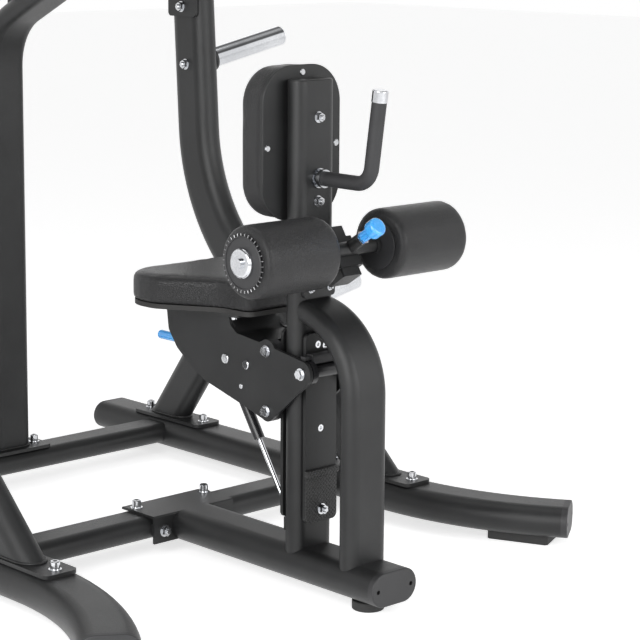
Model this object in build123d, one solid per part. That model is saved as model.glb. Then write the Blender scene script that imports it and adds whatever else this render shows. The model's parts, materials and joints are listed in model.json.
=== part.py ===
from build123d import *
import math
import os

# Lat pulldown machine, plate loaded. Millimetres, +Z up, floor at Z = 0.
# X runs across the machine and X = 0 is its plane of symmetry. The seated user
# faces -Y. The origin is on the floor, below the centre of the whole machine.
# Sizes below are in the layout frame, whose Y = 0 is the seat column's centre;
# every piece is shifted by ORIGIN_SHIFT as it is written.
ORIGIN_SHIFT = -559.5

# --- tubes: width, height and wall of the three flat-oval sections
BEAM = (124.0, 70.0, 4.0)
CROSS = (101.0, 50.0, 3.0)
POST = (106.0, 48.0, 3.0)
UPRIGHT = (120.0, 66.0, 3.5)

# --- base
SIDE_X = 503.0
SIDE_Z = 56.0
CENTRE_Z = 60.0
FRONT_Y = -255.0
REAR_Y = 1315.0
FRONT_CROSS_Y = 428.0
REAR_CROSS_Y = 1066.0
SPLAY_START_Y = 260.0
SPLAY_RADIUS = 720.0
SPLAY_ANGLE = 34.0
CAP_T = 14.0
PLATE_T = 8.0

# --- seat column, its two rails and the curved front tube
COLUMN_TOP = 1055.0
POST_FACE = POST[1] / 2
RAIL_W = 85.0
RAIL_T = 8.0
RAIL_GAP = 6.0
RAIL_LOW = 151.0
RAIL_HIGH = 545.0
RAIL_FACE = POST_FACE + RAIL_GAP + RAIL_T
RAIL_SCREWS = {-1: [(0, 346), (-9, 521), (11, 517)], 1: [(0, 183), (0, 528)]}
BOW_Y = -160.0
BOW_RADIUS = 162.0
BOW_CENTRE_Z = 429.0

# --- seat carriage
PLATE_X = 60.0
ROLLER_R = 13.7
AXLE_R = 6.0
GUIDE_ROLLER_Y = RAIL_FACE + ROLLER_R + 0.3
FRONT_ROLLER_Z = 470.0
UPPER_ROLLER_Z = 501.0
LOWER_ROLLER_Z = 376.0
SEAT_LOW = 565.0
SEAT_HIGH = 633.0
LEVER_PIVOT = (115.0, 463.0)
LATCH_Z = 423.0
LATCH_PITCH = 25.0
LATCH_HOLES = 7

# --- gas spring, in the plane X = 0, as (Y, Z)
SPRING_FOOT = (46.0, 128.0)
SPRING_TOP = (243.0, 429.0)

# --- chest pad and front handle
CHEST_W = 212.0
CHEST_H = 314.0
CHEST_Z = 925.0
CHEST_R = 78.0
HANDLE_Z = 858.0

# --- knee rollers on their slanting guide
KNEE_Y = -114.0
KNEE_Z = 726.0
KNEE_R = 74.0
KNEE_IN = 77.0
KNEE_OUT = 278.0
PIN_TILT = 33.0
GUIDE_OFFSET = 40.0
GUIDE_SIDE = 50.0
GUIDE_LOW = -52.0
GUIDE_HIGH = 56.0

# --- uprights, rear legs, mast and beams above
UPRIGHT_TOP = 1800.0
UPRIGHT_KNEE = (938.0, 669.0)
UPRIGHT_FOOT = (274.0, 52.0)
UPRIGHT_LEAN = 0.06
UPRIGHT_BEND = 450.0
MAST_Y = 1070.0
MAST_BEND = 144.0
MAST_RISE = 25.0
MAST_KNEE_Z = 1108.0
MAST_END_Y = 760.0
TIE_Y = 965.0
TIE_Z = 1215.0

# --- storage pegs
PEG_R = 25.0
PEG_TILT = 12.0
PEG_LENGTH = 250.0
PEG_ROOT = 17.0
UPPER_PEG = (959.0, 1017.0)
LOWER_PEG = (672.0, 419.0)

# --- lever arms
PIVOT_Z = 1680.0
PIVOT_Y = UPRIGHT_KNEE[0] + UPRIGHT_LEAN * (PIVOT_Z - UPRIGHT_KNEE[1])
ARM_X = 405.0
ARM = (90.0, 46.0, 3.0)
HANDLE_PIN_Y = 150.0
HANDLE_PIN_Z = 1862.0
HORN_Y = 1310.0
HORN_Z = 1575.0
STOP_TOP = 1585.0


def ring(size):
    """Flat-oval tube section with its wall."""
    w, h, t = size
    return SlotOverall(w, h) - SlotOverall(w - 2 * t, h - 2 * t)


def straight(face, origin, along, across, length):
    """Extrude a section from origin along a direction; across is the section's own X."""
    return extrude(Plane(origin=origin, x_dir=across, z_dir=along) * face, amount=length)


def bent(size, points, radii, across):
    """Hollow flat-oval tube along a path of straight runs and tangent arcs."""
    path = FilletPolyline(*points, radius=radii)
    plane = Plane(origin=path @ 0, x_dir=across, z_dir=path % 0)
    w, h, t = size
    outer = sweep(plane * SlotOverall(w, h), path=path)
    inner = sweep(plane * SlotOverall(w - 2 * t, h - 2 * t), path=path)
    return outer - inner


def solid_bent(size, points, radii, across):
    """The filled envelope of a bent tube, used to cope other tubes against it."""
    path = FilletPolyline(*points, radius=radii)
    plane = Plane(origin=path @ 0, x_dir=across, z_dir=path % 0)
    return sweep(plane * SlotOverall(size[0], size[1]), path=path)


def rod(p, q, r, bore=0.0):
    """Cylinder from point p to point q, with an optional bore."""
    a, b = Vector(*p), Vector(*q)
    plane = Plane(origin=a, z_dir=(b - a).normalized())
    face = Circle(r)
    if bore:
        face = face - Circle(bore)
    return extrude(plane * face, amount=(b - a).length)


def box(x, y, z):
    """Box between two limits on each axis."""
    size = (x[1] - x[0], y[1] - y[0], z[1] - z[0])
    centre = ((x[0] + x[1]) / 2, (y[0] + y[1]) / 2, (z[0] + z[1]) / 2)
    return Pos(*centre) * Box(*size)


def mirrored(shape):
    """The piece and its mirror image across X = 0."""
    return [shape, mirror(shape, about=Plane.YZ)]


def sheet_x(points, x0, x1, radius=0.0):
    """Plate in a YZ plane from x0 to x1, with rounded corners."""
    face = make_face(Polyline(*points, close=True))
    if radius:
        face = fillet(face.vertices(), radius)
    return extrude(Plane(origin=(x0, 0, 0), x_dir=(0, 1, 0), z_dir=(1, 0, 0)) * face, amount=x1 - x0)


def bolt(p, along, r=6.0, proud=9.0, washer=True):
    """Hexagon nut on a washer with a domed screw end, seated at p and pointing along."""
    plane = Plane(origin=p, z_dir=along)
    body = Part()
    if washer:
        body += extrude(plane * Circle(r * 1.9), amount=2.0)
    body += extrude(plane.offset(2.0) * RegularPolygon(r * 1.55, 6), amount=proud)
    tip = extrude(plane.offset(2.0 + proud) * Circle(r * 0.85), amount=5.0)
    return body + chamfer(tip.faces().sort_by(Axis(p, along))[-1].edges(), 1.2)


def socket_bolt(p, along, r=10.0, tall=16.0):
    """Cap-head screw with a hexagon socket on a washer, seated at p."""
    plane = Plane(origin=p, z_dir=along)
    body = extrude(plane * Circle(r * 1.35), amount=2.5)
    head = extrude(plane.offset(2.5) * Circle(r), amount=tall)
    head = chamfer(head.faces().sort_by(Axis(p, along))[-1].edges(), 1.5)
    socket = extrude(plane.offset(2.5 + tall) * RegularPolygon(r * 0.55, 6), amount=-tall * 0.5)
    return body + head - socket


# ---------------------------------------------------------------- base frame
def side_path():
    """Centreline of the right-hand side beam, from the rear cap to the front cap."""
    run = SPLAY_RADIUS * math.tan(math.radians(SPLAY_ANGLE / 2))
    corner_y = SPLAY_START_Y - run
    a = math.radians(SPLAY_ANGLE)
    end = run + 14.0
    return [(SIDE_X, REAR_Y - CAP_T, SIDE_Z), (SIDE_X, corner_y, SIDE_Z),
            (SIDE_X + end * math.sin(a), corner_y - end * math.cos(a), SIDE_Z)]


def side_beam_envelope():
    return solid_bent(BEAM, side_path(), SPLAY_RADIUS, (1, 0, 0))


def side_beam():
    return bent(BEAM, side_path(), SPLAY_RADIUS, (1, 0, 0))


def beam_cap(origin, outward, across):
    """Moulded end cap with two recessed screw holes."""
    plane = Plane(origin=origin, x_dir=across, z_dir=outward)
    cap = extrude(plane * SlotOverall(BEAM[0], BEAM[1]), amount=CAP_T)
    cap = fillet(cap.faces().sort_by(Axis(origin, outward))[-1].edges(), 3.0)
    for side in (-1, 1):
        cap -= extrude(plane.offset(CAP_T - 7) * Pos(side * 45.5, 0) * Circle(4.5), amount=8)
    return cap


def side_caps():
    end = side_path()[-1]
    a = math.radians(SPLAY_ANGLE)
    front = beam_cap(end, (math.sin(a), -math.cos(a), 0), (math.cos(a), math.sin(a), 0))
    rear = beam_cap((SIDE_X, REAR_Y - CAP_T, SIDE_Z), (0, 1, 0), (1, 0, 0))
    return mirrored(front) + mirrored(rear)


def centre_beam():
    start = (0, FRONT_Y + CAP_T, CENTRE_Z)
    length = FRONT_CROSS_Y - CROSS[0] / 2 - 12 - start[1]
    return straight(ring(BEAM), start, (0, 1, 0), (1, 0, 0), length)


def centre_beam_envelope():
    return straight(SlotOverall(BEAM[0], BEAM[1]), (0, FRONT_Y, CENTRE_Z), (0, 1, 0), (1, 0, 0), 620)


def cross_beam(y, side_envelopes):
    """Cross-beam coped against both side beams."""
    half = SIDE_X - 30
    tube = straight(ring(CROSS), (-half, y, CENTRE_Z), (1, 0, 0), (0, 1, 0), 2 * half)
    for envelope in side_envelopes:
        tube -= envelope
    return tube


def saddle():
    """Bent bracket that bolts the centre beam's rear end over the front cross-beam."""
    y0 = FRONT_CROSS_Y - CROSS[0] / 2 - 12
    top = box((-112, 112), (y0, FRONT_CROSS_Y + 52), (CENTRE_Z + 25.3, CENTRE_Z + 31.3))
    flange = box((-112, 112), (y0, y0 + 6), (CENTRE_Z - 30, CENTRE_Z + 31.3))
    part = fillet((top + flange).edges().filter_by(Axis.X).sort_by(Axis.Z)[-2:], 4)
    web = box((-112, 112), (y0 + 6, y0 + 11.5), (CENTRE_Z - 12, CENTRE_Z + 12))
    return part + web


def foot_disc(x, y, top):
    """Round rubber foot with a steel stem plate."""
    disc = extrude(Plane(origin=(x, y, 0)) * Circle(33), amount=top - 6)
    disc = fillet(disc.edges(), 2.5)
    return disc + extrude(Plane(origin=(x, y, top - 6)) * Circle(22), amount=6)


def outer_foot():
    """Rubber-faced block under the splayed front end of a side beam."""
    a = math.radians(24)
    block = Box(84, 140, SIDE_Z - BEAM[1] / 2, align=(Align.CENTER, Align.CENTER, Align.MIN))
    block = chamfer(block.edges().filter_by(Axis.Z), 5)
    return Pos(600, -64, 0) * Rot(0, 0, math.degrees(a)) * block


def foot_plate(x, y, half_x, half_y, z):
    plate = box((x - half_x, x + half_x), (y - half_y, y + half_y), (z, z + PLATE_T))
    return fillet(plate.edges().filter_by(Axis.Z), 14)


# ---------------------------------------------------------------- column
def column():
    """Seat column, open below and closed by a softened lid at its top."""
    tube = straight(ring(POST), (0, 0, CENTRE_Z), (0, 0, 1), (1, 0, 0), COLUMN_TOP - 8 - CENTRE_Z)
    cap = extrude(Plane(origin=(0, 0, COLUMN_TOP - 8)) * SlotOverall(POST[0], POST[1]), amount=8)
    cap = fillet(cap.faces().sort_by(Axis.Z)[-1].edges(), 4)
    return tube - centre_beam_envelope() + cap


def bow_tube():
    """Curved front tube that rises from the centre beam and bends back into the column."""
    top = BOW_CENTRE_Z + BOW_RADIUS
    points = [(0, BOW_Y, CENTRE_Z), (0, BOW_Y, top), (0, 10, top)]
    tube = bent(POST, points, BOW_RADIUS, (1, 0, 0))
    tube -= box((-80, 80), (-POST_FACE + 1, 60), (CENTRE_Z, top + 60))
    column_face = straight(SlotOverall(POST[0], POST[1]), (0, 0, 60), (0, 0, 1), (1, 0, 0), 800)
    return tube - column_face - centre_beam_envelope()


def rail(side):
    """Guide rail: a plate on a narrow spacer, on the front (-1) or rear (+1) of the column."""
    y0 = side * (POST_FACE + RAIL_GAP)
    y1 = side * RAIL_FACE
    plate = box((-RAIL_W / 2, RAIL_W / 2), sorted((y0, y1)), (RAIL_LOW, RAIL_HIGH))
    plate = fillet(plate.edges().filter_by(Axis.Y), 12)
    if side > 0:
        for k in range(LATCH_HOLES):
            z = LATCH_Z - 4 - k * LATCH_PITCH
            plate -= rod((0, y0, z), (0, y1, z), 6.6)
    for x, z in RAIL_SCREWS[side]:
        plate -= rod((x, y1 - side * 5, z), (x, y1 + side, z), 7.5)
    spacer_y = sorted((side * POST_FACE, y0))
    return plate + box((-26, 26), spacer_y, (RAIL_LOW + 14, RAIL_HIGH - 14))


def rail_screws():
    """Flush socket screws in the rails' counterbores."""
    screws = []
    for side in (-1, 1):
        for x, z in RAIL_SCREWS[side]:
            head = rod((x, side * (RAIL_FACE - 5), z), (x, side * (RAIL_FACE - 0.5), z), 7.2)
            screws.append(head - rod((x, side * (RAIL_FACE - 3), z), (x, side * RAIL_FACE, z), 3.2))
    return screws


def rail_stop():
    """Lower stop on the front rail: a ridge above a textured bumper plate."""
    y1 = -RAIL_FACE - 3.0
    plate = box((-RAIL_W / 2, RAIL_W / 2), (y1, -RAIL_FACE), (RAIL_LOW, RAIL_LOW + 100))
    plate = fillet(plate.edges().filter_by(Axis.Y).sort_by(Axis.Z)[:2], 12)
    ridge = box((-RAIL_W / 2 - 2, RAIL_W / 2 + 2), (-RAIL_FACE - 9, -RAIL_FACE), (248, 262))
    ridge = fillet(ridge.edges().filter_by(Axis.X).sort_by(Axis.Y)[:2], 5)
    return plate + ridge


# ---------------------------------------------------------------- chest pad and handle
def chest_outline(shrink=0.0):
    face = RectangleRounded(CHEST_W - 2 * shrink, CHEST_H - 2 * shrink, CHEST_R - shrink)
    return Plane(origin=(0, 0, CHEST_Z), x_dir=(-1, 0, 0), z_dir=(0, 1, 0)) * face


def chest_plate():
    plate = extrude(Pos(0, POST_FACE, 0) * chest_outline(), amount=8)
    return fillet(plate.faces().sort_by(Axis.Y)[0].edges(), 2)


def chest_cushion():
    pad = extrude(Pos(0, POST_FACE + 9, 0) * chest_outline(1.5), amount=65)
    return fillet(pad.faces().sort_by(Axis.Y)[-1].edges(), 16)


def chest_screws():
    """Screws of the chest pad's back plate, in cup washers."""
    places = [(0, CHEST_Z + 142), (-94, CHEST_Z - 6), (94, CHEST_Z - 6), (0, CHEST_Z - 142)]
    screws = []
    for x, z in places:
        if abs(x) > 1 or z > COLUMN_TOP:
            cup = rod((x, POST_FACE - 3, z), (x, POST_FACE, z), 7.0)
            screws.append(chamfer(cup.faces().sort_by(Axis.Y)[0].edges(), 1.5))
    return screws


def handle_points():
    return [(0, -POST_FACE, HANDLE_Z), (0, -172, HANDLE_Z), (0, -199, HANDLE_Z + 184)]


def handle_core():
    path = FilletPolyline(*handle_points(), radius=40)
    core = sweep(Plane(origin=path @ 0, x_dir=(1, 0, 0), z_dir=path % 0) * Circle(11.5), path=path)
    flange = rod((0, -POST_FACE, HANDLE_Z), (0, -POST_FACE - 6, HANDLE_Z), 20)
    return core + flange


def handle_grip():
    p0, p1, p2 = handle_points()
    path = FilletPolyline((0, p0[1] - 22, p0[2]), p1, p2, radius=40)
    plane = Plane(origin=path @ 0, x_dir=(1, 0, 0), z_dir=path % 0)
    return sweep(plane * (Circle(15) - Circle(11.5)), path=path)


def handle_ring():
    y = -POST_FACE - 13
    return rod((0, y, HANDLE_Z), (0, y - 8.8, HANDLE_Z), 18.5, 11.55)


def handle_cap():
    p1, p2 = (Vector(*p) for p in handle_points()[1:])
    along = (p2 - p1).normalized()
    plane = Plane(origin=p2, z_dir=along)
    cap = extrude(plane * Circle(16), amount=4)
    cap += extrude(plane * (Circle(16) - Circle(15.05)), amount=-20)
    return fillet(cap.faces().sort_by(Axis(p2, along))[-1].edges(), 2.5)


# ---------------------------------------------------------------- seat carriage
def seat_side_plates():
    """Side plates: three round lobes at the roller axles and a rising rear part below the seat."""
    places = [(-GUIDE_ROLLER_Y, FRONT_ROLLER_Z, 26), (GUIDE_ROLLER_Y, UPPER_ROLLER_Z, 24)]
    places.append((GUIDE_ROLLER_Y, LOWER_ROLLER_Z, 22))
    front = Pos(places[0][0], places[0][1]) * Circle(26)
    lower = Pos(places[2][0], places[2][1]) * Circle(22)
    inner = Pos(places[1][0] - 6, places[1][1] - 3) * Circle(14)
    face = make_hull(front.edges() + lower.edges() + inner.edges())
    face += Pos(places[1][0], places[1][1]) * Circle(24)
    top = SEAT_LOW - 6
    rear = [(376, top), (368, 500), (340, 464), (296, 432), (250, 408), (132, 377), (54, 354.5)]
    rear += [(20, 420), (58, 524), (76, 516), (146, 524), (166, 538), (172, top)]
    face += make_face(Polyline(*rear, close=True))
    for y, z, _ in places:
        face -= Pos(y, z) * Circle(AXLE_R)
    plate = extrude(Plane(origin=(PLATE_X, 0, 0), x_dir=(0, 1, 0), z_dir=(1, 0, 0)) * face, amount=8)
    belly = [(368, 500), (340, 464), (296, 432), (250, 408), (132, 377), (146, 524), (166, 538)]
    corners = [e for e in plate.edges().filter_by(Axis.X)
               if any(math.hypot(e.center().Y - y, e.center().Z - z) < 1 for y, z in belly)]
    return mirrored(fillet(corners, 12))


def seat_tie_tubes():
    """Cross tubes between the side plates, clear of the release lever's swing."""
    return [rod((-PLATE_X, y, z), (PLATE_X, y, z), 12, 9) for y, z in ((200, 502), (320, 522))]


def seat_bearer():
    """Bearer sheet below the seat board; its front curves down between the side plates."""
    path = FilletPolyline((0, 374, SEAT_LOW - 8.5), (0, 182, SEAT_LOW - 8.5), (0, 150, 520), (0, 84, 511), radius=16)
    sheet = sweep(Plane(origin=path @ 0, x_dir=(1, 0, 0), z_dir=path % 0) * Rectangle(2 * PLATE_X, 5), path=path)
    flanges = box((-82, 82), (130, 360), (SEAT_LOW - 6, SEAT_LOW))
    return sheet + fillet(flanges.edges().filter_by(Axis.Z), 10)


def seat_outline(shrink=0.0):
    """Seat plan: a broad rear, thigh cut-outs and a narrow nose."""
    half = [(0, 88), (86, 88), (88, 172), (168, 300), (168, 420), (0, 420)]
    full = half[1:5] + [(-x, y) for x, y in reversed(half[1:5])]
    face = make_face(Polyline(*full, close=True))
    radii = {88: 28.0, 172: 90.0, 300: 70.0, 420: 82.0}
    for y, r in radii.items():
        corners = [v for v in face.vertices() if abs(v.Y - y) < 0.5]
        face = fillet(corners, r)
    return offset(face, -shrink) if shrink else face


def seat_board():
    return Pos(0, 0, SEAT_LOW) * extrude(seat_outline(6), amount=10)


def seat_cushion():
    pad = Pos(0, 0, SEAT_LOW + 10.5) * extrude(seat_outline(1.5), amount=SEAT_HIGH - SEAT_LOW - 10.5)
    return fillet(pad.faces().sort_by(Axis.Z)[-1].edges(), 14)


def guide_roller(y, z, disc_r):
    """Steel-sleeved roller on a rail, with a flange disc at each end."""
    roller = rod((-44, y, z), (44, y, z), ROLLER_R)
    for side in (-1, 1):
        roller += rod((side * 43.2, y, z), (side * 57, y, z), disc_r)
    return roller - rod((-60, y, z), (60, y, z), AXLE_R + 0.05)


def roller_axles():
    """Axles of the three guide rollers, with a nut or a cap at each end."""
    axles = []
    for y, z in ((-GUIDE_ROLLER_Y, FRONT_ROLLER_Z), (GUIDE_ROLLER_Y, UPPER_ROLLER_Z),
                 (GUIDE_ROLLER_Y, LOWER_ROLLER_Z)):
        axle = rod((-PLATE_X - 8, y, z), (PLATE_X + 8, y, z), AXLE_R)
        for side in (-1, 1):
            x = side * (PLATE_X + 8)
            axle += rod((x, y, z), (x + side * 4, y, z), 12.5)
            axle += straight(RegularPolygon(9.5, 6), (x + side * 4, y, z), (side, 0, 0), (0, 1, 0), 7)
        axles.append(axle)
    return axles


def plate_buttons():
    """Round caps and screws on the outer faces of the seat's side plates."""
    heads = []
    for y, z, r, t in ((181, 465, 10.5, 3.0), (LEVER_PIVOT[0], LEVER_PIVOT[1], 10.0, 5.0), (132, 414, 5.0, 1.0)):
        for side in (-1, 1):
            x = side * (PLATE_X + 8)
            head = rod((x, y, z), (x + side * t, y, z), r)
            outer = head.faces().sort_by(Axis.X)[-1 if side > 0 else 0]
            heads.append(chamfer(outer.edges(), 0.3 * t))
    return heads


def wiper_bar():
    """Plastic bar above the front roller that wipes the rail."""
    y0, y1 = -RAIL_FACE - 22, -RAIL_FACE - 0.8
    bar = fillet(box((-42, 42), (y0, y1), (486, 507)).edges().filter_by(Axis.X), 5)
    return bar + box((-PLATE_X, PLATE_X), (y0 + 5, y1 - 2), (496.5, 504))


def lever_pivot_pin():
    y, z = LEVER_PIVOT
    return rod((-PLATE_X, y, z), (PLATE_X, y, z), 6)


def lever():
    """Seat release lever: a bell crank on the pivot pin with a rod to the rear."""
    y, z = LEVER_PIVOT
    hub = rod((-12, y, z), (12, y, z), 12, 6.05)
    arm = box((-4, 4), (y - 7, y + 7), (LATCH_Z + 9, z - 9))
    shaft = rod((0, y + 11.5, z), (0, 446, z), 6)
    return hub + arm + shaft


def lever_grip():
    y0, z = 405, LEVER_PIVOT[1]
    grip = rod((0, y0, z), (0, 482, z), 10, 6)
    grip += rod((0, 447, z), (0, 482, z), 10)
    return fillet(grip.faces().sort_by(Axis.Y)[-1].edges(), 6)


def latch_block():
    """Housing of the latch pin, held between the side plates."""
    block = box((-PLATE_X, PLATE_X), (66, 92), (LATCH_Z - 14, LATCH_Z + 5.6))
    block = fillet(block.edges().filter_by(Axis.X), 4)
    return block - rod((0, 60, LATCH_Z - 4), (0, 100, LATCH_Z - 4), 6.05)


def latch_pin():
    z = LATCH_Z - 4
    pin = rod((0, RAIL_FACE + 0.4, z), (0, 112, z), 6)
    return pin + rod((0, 102, z), (0, 107, z), 9.5)


# ---------------------------------------------------------------- gas spring
def spring_direction():
    dy, dz = SPRING_TOP[0] - SPRING_FOOT[0], SPRING_TOP[1] - SPRING_FOOT[1]
    length = math.hypot(dy, dz)
    return dy / length, dz / length, length


def spring_point(distance):
    uy, uz, _ = spring_direction()
    return (0, SPRING_FOOT[0] + uy * distance, SPRING_FOOT[1] + uz * distance)


def spring_bracket():
    """Two ears with a pin on the column's rear face."""
    y, z = SPRING_FOOT
    ears = [box((x, x + 6), (POST_FACE, y + 10), (z - 14, z + 14)) for x in (-16, 10)]
    base = box((-24, 24), (POST_FACE, POST_FACE + 6), (z - 22, z + 22))
    pin = rod((-20, y, z), (20, y, z), 5)
    return base + ears[0] + ears[1] + pin


def spring_rod():
    eye = rod((-8, *SPRING_FOOT), (8, *SPRING_FOOT), 11)
    stem = rod(spring_point(5), spring_point(26), 7)
    shaft = rod(spring_point(20), spring_point(196), 5)
    bore = rod((-9, *SPRING_FOOT), (9, *SPRING_FOOT), 5.05)
    return eye + stem + shaft - bore


def spring_cylinder():
    """Cylinder with a closed bore around the rod and an eye with its pin at the top."""
    _, _, length = spring_direction()
    tube = rod(spring_point(190), spring_point(length - 24), 12)
    tube -= rod(spring_point(189), spring_point(length - 40), 5.05)
    stem = rod(spring_point(length - 26), spring_point(length - 6), 7)
    eye = rod((-8, *SPRING_TOP), (8, *SPRING_TOP), 11)
    pin = rod((-22, *SPRING_TOP), (22, *SPRING_TOP), 5)
    return tube + stem + eye + pin


def spring_hanger():
    """Ears on the seat carriage around the spring's upper pin, with wide slots for its travel."""
    y, z = SPRING_TOP
    ears = []
    for x in (-20, 14):
        ear = sheet_x([(y - 26, z - 24), (y + 26, z - 24), (y + 26, z + 26), (y + 20, SEAT_LOW - 11), (y - 20, SEAT_LOW - 11),
                       (y - 26, z + 26)], x, x + 6, 8)
        ears.append(ear - rod((x - 1, y, z), (x + 7, y, z), 14))
    return ears


# ---------------------------------------------------------------- knee rollers
PIN_Y = -math.cos(math.radians(PIN_TILT))
PIN_Z = math.sin(math.radians(PIN_TILT))
GUIDE_MID = (KNEE_Y - PIN_Y * GUIDE_OFFSET, KNEE_Z - PIN_Z * GUIDE_OFFSET)


def guide_plane(t):
    """Plane across the guide at distance t up its length; local X is world X."""
    origin = (0, GUIDE_MID[0] + PIN_Z * t, GUIDE_MID[1] - PIN_Y * t)
    return Plane(origin=origin, x_dir=(1, 0, 0), z_dir=(0, PIN_Z, -PIN_Y))


def knee_guide():
    """Slanting square tube that the knee rollers slide along."""
    face = RectangleRounded(GUIDE_SIDE, GUIDE_SIDE, 5) - RectangleRounded(GUIDE_SIDE - 8, GUIDE_SIDE - 8, 2)
    tube = extrude(guide_plane(GUIDE_LOW) * face, amount=GUIDE_HIGH - GUIDE_LOW)
    for t in (GUIDE_LOW, GUIDE_HIGH - 4):
        tube += extrude(guide_plane(t) * RectangleRounded(GUIDE_SIDE, GUIDE_SIDE, 5), amount=4)
    return tube


def knee_bracket():
    """Web and base plate that join the guide to the column's front."""
    base = box((-42, 42), (-POST_FACE - 8, -POST_FACE), (617, 700))
    base = fillet(base.edges().filter_by(Axis.Y), 8)
    low, high = guide_plane(GUIDE_LOW + 4).origin, guide_plane(GUIDE_HIGH - 4).origin
    out_y, out_z = -PIN_Y * GUIDE_SIDE / 2, -PIN_Z * GUIDE_SIDE / 2
    points = [(low.Y + out_y, low.Z + out_z), (high.Y + out_y, high.Z + out_z)]
    points += [(-POST_FACE, high.Z + out_z), (-POST_FACE, 634)]
    return base + sheet_x(points, -8, 8)


def knee_sleeve():
    """Sliding sleeve, open at the rear where the bracket's web passes and bored for the pull pin."""
    outer = RectangleRounded(64, 64, 7) - RectangleRounded(GUIDE_SIDE + 1, GUIDE_SIDE + 1, 5)
    slot = Pos(0, 28) * Rectangle(24, 24)
    return extrude(guide_plane(-34) * (outer - slot), amount=64) - rod(pin_point(-24), pin_point(0), 6.05)


def knee_axle():
    """Axle bar across the sleeve's front, with its collars and the pull pin's barrel."""
    axle = rod((-KNEE_OUT, KNEE_Y, KNEE_Z), (KNEE_OUT, KNEE_Y, KNEE_Z), 14)
    for side in (-1, 1):
        axle += rod((side * 66, KNEE_Y, KNEE_Z), (side * 74, KNEE_Y, KNEE_Z), 17)
        axle -= rod((side * (KNEE_OUT - 30), KNEE_Y, KNEE_Z), (side * (KNEE_OUT + 1), KNEE_Y, KNEE_Z), 10)
    axle += rod(pin_point(0), pin_point(44), 13)
    axle -= rod(pin_point(-20), pin_point(50), 6.05)
    return axle - extrude(guide_plane(-40) * Rectangle(64, 64), amount=80)


def knee_roller(side):
    """Closed foam roller between its two end hubs."""
    a, b = side * (KNEE_IN + 3), side * (KNEE_OUT - 3)
    foam = rod((a, KNEE_Y, KNEE_Z), (b, KNEE_Y, KNEE_Z), KNEE_R, 19)
    ends = foam.faces().filter_by(GeomType.PLANE)
    rims = [max(f.edges(), key=lambda e: e.length) for f in ends]
    return fillet(rims, 14)


def knee_hub(side):
    """Plastic core of a roller: a bush along the axle with a ribbed disc at each end."""
    a, b = side * KNEE_IN, side * KNEE_OUT
    bush = rod((a, KNEE_Y, KNEE_Z), (b, KNEE_Y, KNEE_Z), 18.9, 14.05)
    discs = [rod((x, KNEE_Y, KNEE_Z), (x + step, KNEE_Y, KNEE_Z), 50, 18)
             for x, step in ((a, side * 3), (b, -side * 3))]
    return bush + discs[0] + discs[1]


def knee_caps():
    """Chrome domed cap with its bolt on each end of the axle."""
    caps = []
    for side in (-1, 1):
        x = side * (KNEE_OUT + 0.3)
        dome = rod((x, KNEE_Y, KNEE_Z), (x + side * 9, KNEE_Y, KNEE_Z), 30)
        outer = dome.faces().sort_by(Axis.X)[-1 if side > 0 else 0]
        dome = fillet(outer.edges(), 7)
        dome += rod((x, KNEE_Y, KNEE_Z), (x + side * 15, KNEE_Y, KNEE_Z), 11)
        plug = rod((x - side * 30, KNEE_Y, KNEE_Z), (x, KNEE_Y, KNEE_Z), 10)
        caps.append(dome + plug)
    return caps


def pin_point(d):
    return (0, KNEE_Y + PIN_Y * d, KNEE_Z + PIN_Z * d)


def pull_pin():
    """Steel plunger of the knee roller's pull pin."""
    start = -(GUIDE_OFFSET - GUIDE_SIDE / 2 - 0.4)
    return rod(pin_point(start), pin_point(58), 6)


def pull_pin_nut():
    plane = Plane(origin=pin_point(44.2), x_dir=(1, 0, 0), z_dir=(0, PIN_Y, PIN_Z))
    return extrude(plane * (RegularPolygon(15, 6) - Circle(6.05)), amount=5)


def pull_knob():
    """Fluted knob with a broad head."""
    stem = rod(pin_point(50), pin_point(76), 11, 6)
    stem += rod(pin_point(58.2), pin_point(76), 11)
    for k in range(8):
        a = math.radians(45 * k)
        side = (11.5 * math.cos(a), 11.5 * math.sin(a))
        plane = Plane(origin=pin_point(48), x_dir=(1, 0, 0), z_dir=(0, PIN_Y, PIN_Z))
        stem -= extrude(plane * Pos(*side) * Circle(2.2), amount=30)
    head = rod(pin_point(75), pin_point(101), 19)
    head = fillet(head.edges(), 6)
    return stem + head


# ---------------------------------------------------------------- uprights, mast, ties
def upright_points():
    top = UPRIGHT_KNEE[0] + UPRIGHT_LEAN * (UPRIGHT_TOP - UPRIGHT_KNEE[1])
    return [(SIDE_X, *UPRIGHT_FOOT), (SIDE_X, *UPRIGHT_KNEE), (SIDE_X, top, UPRIGHT_TOP)]


def below(z):
    return box((-900, 900), (-600, 1500), (-50, z))


def upright():
    size = UPRIGHT
    tube = bent(size, upright_points(), UPRIGHT_BEND, (0, 0.733, -0.68))
    return tube - below(SIDE_Z + BEAM[1] / 2 + PLATE_T)


def upright_cap():
    p0, p1 = (Vector(*p) for p in upright_points()[1:])
    along = (p1 - p0).normalized()
    plane = Plane(origin=p1, x_dir=(0, -along.Z, along.Y), z_dir=along)
    cap = extrude(plane * SlotOverall(UPRIGHT[0], UPRIGHT[1]), amount=8)
    return fillet(cap.faces().sort_by(Axis(p1, along))[-1].edges(), 4)


def rear_leg():
    """Raked leg from the rear foot plate up to the underside of the upright."""
    start = Vector(SIDE_X, 1096, 52)
    end = Vector(SIDE_X, 748, 520)
    along = (end - start).normalized()
    tube = straight(ring((106, 52, 3)), start, along, (0, along.Z, -along.Y), (end - start).length)
    tube -= solid_bent(UPRIGHT, upright_points(), UPRIGHT_BEND, (0, 0.733, -0.68))
    tube = tube.solids().sort_by(Axis.Z)[0]
    return tube - below(SIDE_Z + BEAM[1] / 2 + PLATE_T)


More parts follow.
